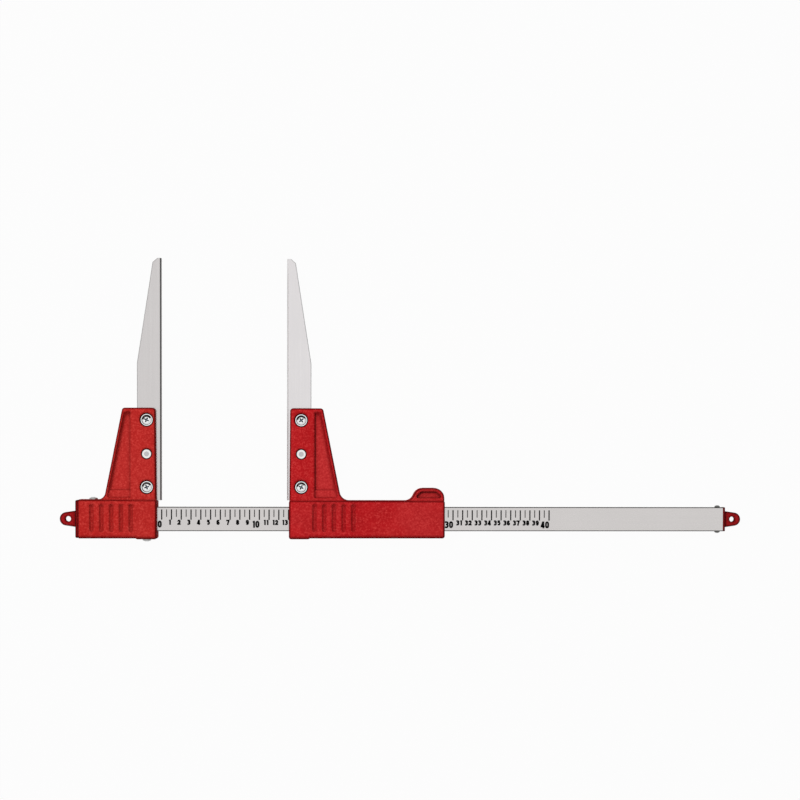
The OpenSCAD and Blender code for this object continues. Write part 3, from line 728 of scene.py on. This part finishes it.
def stroke_sides(points, half):
    """Both sides of a pen stroke, mitred at its corners, and whether it closes on itself."""
    closed = (Vector(points[0]) - Vector(points[-1])).length < SAME_POINT
    path = [Vector(p) for p in (points[:-1] if closed else points)]
    count = len(path)
    sides = []
    for i, here in enumerate(path):
        before = path[i - 1] if closed or i > 0 else None
        after = path[(i + 1) % count] if closed or i < count - 1 else None
        into = (here - before).normalized() if before else None
        away = (after - here).normalized() if after else None
        into = into or away
        away = away or into
        along = (into + away).normalized()
        across = Vector((-along.y, along.x))
        reach = half / max(MITRE_LIMIT, across.dot(Vector((-away.y, away.x))))
        sides.append((here + across * reach, here - across * reach))
    return sides, closed


def add_stroke(bm, points, place, size, pen):
    """A thin printed ribbon along a pen stroke."""
    sides, closed = stroke_sides(points, pen / 2)
    rings = []
    for a, b in sides:
        ring = []
        for flat, z in ((a, -INK_SUNK), (b, -INK_SUNK), (b, INK_HEIGHT), (a, INK_HEIGHT)):
            ring.append(bm.verts.new((place[0] + flat.x * size, place[1] + flat.y * size, FACE + z)))
        rings.append(ring)
    pairs = list(zip(rings, rings[1:]))
    if closed:
        pairs.append((rings[-1], rings[0]))
    for first, second in pairs:
        for i in range(4):
            j = (i + 1) % 4
            bm.faces.new((first[i], first[j], second[j], second[i]))
    if not closed:
        bm.faces.new(rings[0])
        bm.faces.new(rings[-1])


# Numbers: height, distance below the beam's edge and gap to the mark, then shares of the height
SMALL_DIGITS = {
    "height": 5.4 * MM,
    "top": 13.1 * MM,
    "gap": 0.6 * MM,
    "pen": 0.30,
    "width": 0.64,
    "one": 0.46,
    "space": 0.06,
}
TALL_DIGITS = {
    "height": 7.2 * MM,
    "top": 14.1 * MM,
    "gap": -0.1 * MM,
    "pen": 0.26,
    "width": 0.59,
    "one": 0.42,
    "space": 0.05,
}


def scale_numbers():
    """All numbers of the scale, each with its right side at its own mark, the tens in the tall style."""
    bm = bmesh.new()
    for style, tens in ((SMALL_DIGITS, False), (TALL_DIGITS, True)):
        height = style["height"]
        strokes = digit_strokes(style["pen"], style["width"], style["one"])
        for i in range(SCALE_CM + 1):
            if (i % 10 == 0) != tens:
                continue
            x = ZERO_X + i * CM
            foot = print_line(x, style["top"]) - height
            x -= style["gap"]
            for digit in reversed(str(i)):
                x -= (style["one"] if digit == "1" else style["width"]) * height
                for points in strokes[digit]:
                    add_stroke(bm, points, (x, foot), height, style["pen"])
                x -= style["space"] * height
    piece_from(bm, "scale_numbers", ink_black, "frame")


scale_numbers()

# Fasteners with turned heads and tapered cross recesses
TURN_STEPS = 48
ON_AXIS = 1e-9


def lathe(profile):
    """A turned solid about Z from points of radius and height, which start and end on the axis."""
    bm = bmesh.new()
    angles = [2.0 * math.pi * i / TURN_STEPS for i in range(TURN_STEPS)]
    rings = []
    for radius, z in profile:
        if radius < ON_AXIS:
            rings.append([bm.verts.new((0.0, 0.0, z))])
        else:
            rings.append([bm.verts.new((radius * math.cos(a), radius * math.sin(a), z)) for a in angles])
    for first, second in zip(rings, rings[1:]):
        for i in range(TURN_STEPS):
            j = (i + 1) % TURN_STEPS
            loop = [
                first[i % len(first)],
                first[j % len(first)],
                second[j % len(second)],
                second[i % len(second)],
            ]
            corners = list(dict.fromkeys(loop))
            if len(corners) > 2:
                bm.faces.new(corners)
    bmesh.ops.recalc_face_normals(bm, faces=bm.faces[:])
    return bm


DOME_STEPS = 12
SHOULDER = 0.04


def head_profile(radius, height, rim, edge_tilt):
    """A low spherical dome over a straight rim with a rounded shoulder."""
    tilt = math.radians(edge_tilt)
    shoulder = SHOULDER * radius
    dome_r = (radius - shoulder) / math.sin(tilt)
    points = [(0.0, height)]
    for i in range(1, DOME_STEPS + 1):
        a = tilt * i / DOME_STEPS
        points.append((dome_r * math.sin(a), height - dome_r * (1.0 - math.cos(a))))
    foot = points[-1][1]
    points.append((radius - 0.35 * shoulder, foot - 0.55 * shoulder))
    points.append((radius, min(foot - 1.2 * shoulder, rim)))
    points.append((radius, 0.12 * shoulder))
    points.append((radius - 0.12 * shoulder, 0.0))
    return points


# Shares of the head's radius, each with the slope in degrees that leads to it
RINGED_HEAD = (
    (0.12, 2), (0.25, 4), (0.38, 6), (0.50, 9), (0.53, 27), (0.82, 33), (0.85, 18), (0.90, 5), (0.96, 6),
)
RINGED_RIM_DROP = 0.04


def ringed_profile(radius, height):
    """A low dome inside a steep step and a flat outer ring, over a straight rim."""
    points = [(0.0, height)]
    for share, slope in RINGED_HEAD:
        r, z = points[-1]
        out = share * radius
        points.append((out, z - (out - r) * math.tan(math.radians(slope))))
    points.append((radius, points[-1][1] - RINGED_RIM_DROP * radius))
    points.append((radius, 0.0))
    return points


RIDGE_DEPTH = 0.3
END_CHAMFER = 0.8


def shank_profile(radius, length, pitch):
    """A threaded shank below z = 0, drawn as fine ridges, with a chamfered end."""
    ridge = RIDGE_DEPTH * pitch
    chamfer = END_CHAMFER * pitch
    points = [(radius, 0.0), (radius, -pitch)]
    z = -2.0 * pitch
    while z > -length + 2.0 * pitch:
        points.append((radius - ridge, z + 0.5 * pitch))
        points.append((radius, z))
        z -= pitch
    points.append((radius, -length + chamfer))
    points.append((radius - chamfer, -length))
    points.append((0.0, -length))
    return points


# The cross recess: width against its reach, taper to its foot, and its top and bottom against the head
CROSS_WIDTH = 0.29
CROSS_FOOT_REACH = 0.42
CROSS_FOOT_WIDTH = 0.72
CROSS_TOP = 1.02
CROSS_BOTTOM = 0.25


def cross_cutter(half, width, top, bottom):
    """A tapered cross to be cut out of a head."""
    bm = bmesh.new()

    def ring(reach, w, z):
        flat = [
            (reach, -w), (reach, w), (w, w), (w, reach), (-w, reach), (-w, w),
            (-reach, w), (-reach, -w), (-w, -w), (-w, -reach), (w, -reach), (w, -w),
        ]
        return [bm.verts.new((x, y, z)) for x, y in flat]

    upper = ring(half, width, top)
    lower = ring(half * CROSS_FOOT_REACH, width * CROSS_FOOT_WIDTH, bottom)
    for i in range(12):
        j = (i + 1) % 12
        bm.faces.new((upper[i], upper[j], lower[j], lower[i]))
    for loop in (upper, lower):
        bm.faces.new((loop[11], loop[2], loop[5], loop[8]))
        for a, b, c, d in ((11, 0, 1, 2), (2, 3, 4, 5), (5, 6, 7, 8), (8, 9, 10, 11)):
            bm.faces.new((loop[a], loop[b], loop[c], loop[d]))
    bmesh.ops.recalc_face_normals(bm, faces=bm.faces[:])
    return bm


def cross_screw_mesh(head, shank, cross_r, finish):
    """A screw with its seat at z = 0 and painted shade in the cross recess in its head."""
    height = head[0][1]
    cross = cross_cutter(cross_r, CROSS_WIDTH * cross_r, CROSS_TOP * height, CROSS_BOTTOM * height)
    body = mesh_object(lathe(head + shank), "screw_body")
    cutter = mesh_object(cross, "screw_cross")
    body.data.materials.append(finish)
    # The cutter's faces paint shade into the cross recess
    cutter.data.materials.append(painted_shade_zinc)
    cut = body.modifiers.new("cross", "BOOLEAN")
    cut.object = cutter
    cut.operation = "DIFFERENCE"
    cut.solver = "EXACT"
    cut.material_mode = "TRANSFER"
    bpy.context.view_layer.update()
    graph = bpy.context.evaluated_depsgraph_get()
    mesh = bpy.data.meshes.new_from_object(body.evaluated_get(graph))
    for loose in (body, cutter):
        spent = loose.data
        bpy.data.objects.remove(loose)
        bpy.data.meshes.remove(spent)
    return mesh


def gather(name, mesh_places, materials, body, replaced):
    """One piece of several placed meshes, which stands for a CAD node."""
    bm = bmesh.new()
    for mesh, matrix in mesh_places:
        part = mesh.copy()
        part.transform(matrix)
        bm.from_mesh(part)
        bpy.data.meshes.remove(part)
    piece = piece_from(bm, name, materials[0], body)
    for material in materials[1:]:
        piece.data.materials.append(material)
    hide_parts(replaced)
    smooth(piece)


def turn_about(axis, degrees):
    """A turn about an axis."""
    return Matrix.Rotation(math.radians(degrees), 4, axis)


BLADE_HEAD_H = 3.7 * MM
BLADE_SHANK_R = 3.0 * MM
BLADE_THREAD = 1.0 * MM
BLADE_CROSS = 0.42
BLADE_RIM_SHADOW = 0.97
CROSS_TURNS = {"fixed": (20.0, 65.0), "sliding": (62.0, 38.0)}


def blade_screws(jaw, body):
    """Both screws of one blade, at the CAD screws' places, with painted shadow on the rim."""
    node_name = jaw + "_blade_screws"
    low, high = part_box(node_name)
    radius = (high.x - low.x) / 2
    x = (low.x + high.x) / 2
    seat = high.z - BLADE_HEAD_H
    zinc = finishes["zinc_steel"]
    head = ringed_profile(radius, BLADE_HEAD_H)
    shank = shank_profile(BLADE_SHANK_R, seat - low.z, BLADE_THREAD)
    mesh = cross_screw_mesh(head, shank, BLADE_CROSS * radius, zinc)
    # Painted shadow on each head's outer rim
    for face in mesh.polygons:
        if face.center.xy.length > BLADE_RIM_SHADOW * radius:
            face.material_index = 1
    places = []
    for y, turned in zip((low.y + radius, high.y - radius), CROSS_TURNS[jaw]):
        places.append((mesh, Matrix.Translation((x, y, seat)) @ turn_about("Z", turned)))
    gather(jaw + "_screws_detailed", places, (zinc, painted_shade_zinc), body, node_name)
    bpy.data.meshes.remove(mesh)


blade_screws("fixed", "frame")
blade_screws("sliding", "slider")

SMALL_HEAD_H = 2.6 * MM
SMALL_THREAD = 0.8 * MM
SMALL_RIM = 0.45
SMALL_TILT = 30.0
SMALL_CROSS = 0.60
SMALL_TURN = 31.0


def small_screw(node_name, shank_r, up):
    """The screw on top of the fixed box, or the one below its boss."""
    low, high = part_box(node_name)
    radius = (high.x - low.x) / 2
    middle = (low + high) / 2
    seat = high.y - SMALL_HEAD_H if up else low.y + SMALL_HEAD_H
    length = (high.y - low.y) - SMALL_HEAD_H
    head = head_profile(radius, SMALL_HEAD_H, SMALL_RIM * SMALL_HEAD_H, SMALL_TILT)
    shank = shank_profile(shank_r, length, SMALL_THREAD)
    mesh = cross_screw_mesh(head, shank, SMALL_CROSS * radius, dull_zinc)
    upright = turn_about("X", -90.0 if up else 90.0)
    place = Matrix.Translation((middle.x, seat, middle.z)) @ upright @ turn_about("Z", SMALL_TURN)
    gather(node_name + "_detailed", [(mesh, place)], (dull_zinc, painted_shade_zinc), "frame", node_name)
    bpy.data.meshes.remove(mesh)


small_screw("fixed_plug_screw", shank_r=2.5 * MM, up=True)
small_screw("fixed_clamp_screw", shank_r=2.0 * MM, up=False)

RIVET_SHANK_R = 1.6 * MM
RIVET_SHANK_L = 7.0 * MM
RIVET_RIM = 0.22
RIVET_STEPS = 9


def rivets():
    """Domed rivets over and under the beam's free end."""
    low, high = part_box("free_end_rivets")
    radius = (high.x - low.x) / 2
    middle = (low + high) / 2
    head = high.y - BEAM_TOP
    profile = [(0.0, head)]
    for i in range(1, RIVET_STEPS + 1):
        a = math.radians(90.0 * i / RIVET_STEPS)
        profile.append((radius * math.sin(a), head * (RIVET_RIM + (1.0 - RIVET_RIM) * math.cos(a))))
    profile += [
        (radius, 0.0),
        (RIVET_SHANK_R, 0.0),
        (RIVET_SHANK_R, -RIVET_SHANK_L),
        (0.0, -RIVET_SHANK_L),
    ]
    dome = mesh_object(lathe(profile), "rivet")
    mesh = dome.data
    places = []
    for seat, turned in ((BEAM_TOP, -90.0), (beam_low.y, 90.0)):
        places.append((mesh, Matrix.Translation((middle.x, seat, middle.z)) @ turn_about("X", turned)))
    gather("free_end_rivets_detailed", places, (dark_zinc,), "frame", "free_end_rivets")
    bpy.data.objects.remove(dome)
    bpy.data.meshes.remove(mesh)


rivets()

# A dowel's end: shares of its radius, each with its depth below the end as a multiple of the dish
DOWEL_DISH = 0.12 * MM
DOWEL_END = ((0.0, 1.0), (0.40, 0.9), (0.54, 0.6), (0.58, 0.0), (0.76, 0.3), (0.95, 1.2), (1.0, 3.0))
DOWEL_HIGHLIGHT_START = 0.52
DOWEL_SHADOW_START = 0.96


def dowel(jaw, body):
    """A turned pin in its own frame: a faintly dished middle, a painted highlight rim and a painted shadow
    edge.
    """
    node_name = jaw + "_blade_dowel"
    low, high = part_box(node_name)
    radius = (high.x - low.x) / 2
    half = (high.z - low.z) / 2
    upper = [(share * radius, half - depth * DOWEL_DISH) for share, depth in DOWEL_END]
    lower = [(r, -z) for r, z in reversed(upper)]
    finish = finishes["dowel_aluminium"]
    piece = piece_from(lathe(upper + lower), jaw + "_dowel_detailed", finish, body)
    piece.data.materials.append(dowel_painted_highlight)
    piece.data.materials.append(painted_shade_zinc)
    # Painted shadow on the outer edge, painted highlight on the rim inside it
    for face in piece.data.polygons:
        reach = face.center.xy.length
        if reach > DOWEL_SHADOW_START * radius:
            face.material_index = 2
        elif reach > DOWEL_HIGHLIGHT_START * radius:
            face.material_index = 1
    piece.matrix_world = Matrix.Translation((low + high) / 2)
    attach(piece, body)
    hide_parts(node_name)
    smooth(piece)


dowel("fixed", "frame")
dowel("sliding", "slider")

# Floor
FLOOR_DROP = 0.2 * MM
FLOOR_HALF = 6.0
FLOOR_GREY = 0.18
FLOOR_GLOW = 0.97
WHITE = (1.0, 1.0, 1.0, 1.0)


def white_floor():
    """A floor that the camera and reflections see as white, and that keeps a faint shadow."""
    material, tree, shader = new_material("floor")
    shader.inputs["Base Color"].default_value = (FLOOR_GREY, FLOOR_GREY, FLOOR_GREY, 1.0)
    shader.inputs["Roughness"].default_value = 0.9
    shader.inputs["Specular IOR Level"].default_value = 0.0
    path = node(tree, "ShaderNodeLightPath")
    seen = larger(tree, path.outputs["Is Camera Ray"], path.outputs["Is Glossy Ray"])
    seen = larger(tree, seen, path.outputs["Is Transmission Ray"])
    glow = node(tree, "ShaderNodeEmission", values={"Color": WHITE, "Strength": 1.0})
    blend = node(tree, "ShaderNodeMixShader", links={0: times(tree, seen, FLOOR_GLOW)})
    tree.links.new(shader.outputs["BSDF"], blend.inputs[1])
    tree.links.new(glow.outputs["Emission"], blend.inputs[2])
    tree.links.new(blend.outputs["Shader"], tree.nodes["Material Output"].inputs["Surface"])
    bm = bmesh.new()
    z = cad_low.z - FLOOR_DROP
    corners = [(-1, -1), (1, -1), (1, 1), (-1, 1)]
    bm.faces.new([bm.verts.new((x * FLOOR_HALF, y * FLOOR_HALF, z)) for x, y in corners])
    floor = mesh_object(bm, "floor")
    floor.data.materials.append(material)


# Room: levels of light, and heights of a direction, 0 level and 1 overhead, where they change
CEILING_LEVEL = 0.95
CEILING_RISE = (0.50, 0.92)
# The ground's level, the tilt that makes one side lighter, and the least it falls to
GROUND_LEVEL = 0.20
GROUND_TILT = (-0.22, 0.12, 0.0)
GROUND_LEAST = 0.02
WALL_SHARE = 0.75
WALL_RISE = (0.02, 0.16)
# The band's heading, how near a direction is to it as the band fades in, and its lower and upper ends
BAND_HEADING = (-0.20, 0.98, 0.0)
BAND_SPREAD = (0.15, 0.45)
BAND_FOOT = (0.20, 0.28)
BAND_TOP = (0.78, 0.88)
BAND_DARKNESS = 0.97


def studio_world():
    """A room with a bright ceiling and a dim ground line, which the camera sees as white.

    Reflections see light walls too, and sharp ones a dark band on the side that the blades point to.
    """
    world = bpy.data.worlds.new("studio")
    world.use_nodes = True
    tree = world.node_tree
    tree.nodes.clear()
    look = node(tree, "ShaderNodeTexCoord").outputs["Generated"]
    path = node(tree, "ShaderNodeLightPath")
    height = dot(tree, look, (0.0, 0.0, 1.0))
    ground = math_node(tree, "ADD", dot(tree, look, GROUND_TILT), GROUND_LEVEL)
    ground = larger(tree, ground, GROUND_LEAST)
    ceiling = soft_step(tree, height, *CEILING_RISE)
    walls = soft_step(tree, height, *WALL_RISE, 0.0, WALL_SHARE)
    rise = larger(tree, ceiling, times(tree, walls, path.outputs["Is Glossy Ray"]))
    above = times(tree, math_node(tree, "SUBTRACT", CEILING_LEVEL, ground), rise)
    level = math_node(tree, "ADD", ground, above)
    flat = node(
        tree,
        "ShaderNodeVectorMath",
        {"operation": "MULTIPLY"},
        values={1: (1.0, 1.0, 0.0)},
        links={0: look},
    )
    heading = node(
        tree,
        "ShaderNodeVectorMath",
        {"operation": "NORMALIZE"},
        links={0: flat.outputs["Vector"]},
    )
    facing = soft_step(tree, dot(tree, heading.outputs["Vector"], BAND_HEADING), *BAND_SPREAD)
    above_foot = soft_step(tree, height, *BAND_FOOT)
    below_top = soft_step(tree, height, *BAND_TOP, 1.0, 0.0)
    band = times(tree, facing, times(tree, above_foot, below_top))
    dark = times(tree, times(tree, band, path.outputs["Is Singular Ray"]), BAND_DARKNESS)
    level = times(tree, level, math_node(tree, "SUBTRACT", 1.0, dark))
    room = node(tree, "ShaderNodeBackground", values={"Color": WHITE}, links={"Strength": level})
    white = node(tree, "ShaderNodeBackground", values={"Color": WHITE, "Strength": 1.0})
    blend = node(tree, "ShaderNodeMixShader", links={0: path.outputs["Is Camera Ray"]})
    tree.links.new(room.outputs["Background"], blend.inputs[1])
    tree.links.new(white.outputs["Background"], blend.inputs[2])
    finish = node(tree, "ShaderNodeOutputWorld", links={"Surface": blend.outputs["Shader"]})
    finish.is_active_output = True
    scene.world = world


# Key lamp: high up, to the left and beyond the blades' tips
KEY_PLACE = Vector((-0.85, 0.60, 1.75))
KEY_AIM = Vector((-0.05, -0.05, 0.0))
KEY_SIZE = 0.5
KEY_POWER = 25.0


def key_light():
    """A soft lamp that reflections don't show."""
    data = bpy.data.lights.new("key", "AREA")
    data.size = KEY_SIZE
    data.energy = KEY_POWER
    lamp = bpy.data.objects.new("key", data)
    scene.collection.objects.link(lamp)
    lamp.visible_glossy = False
    aimed = (KEY_AIM - KEY_PLACE).to_track_quat("-Z", "Y").to_matrix().to_4x4()
    lamp.matrix_world = Matrix.Translation(KEY_PLACE) @ aimed


white_floor()
studio_world()
key_light()
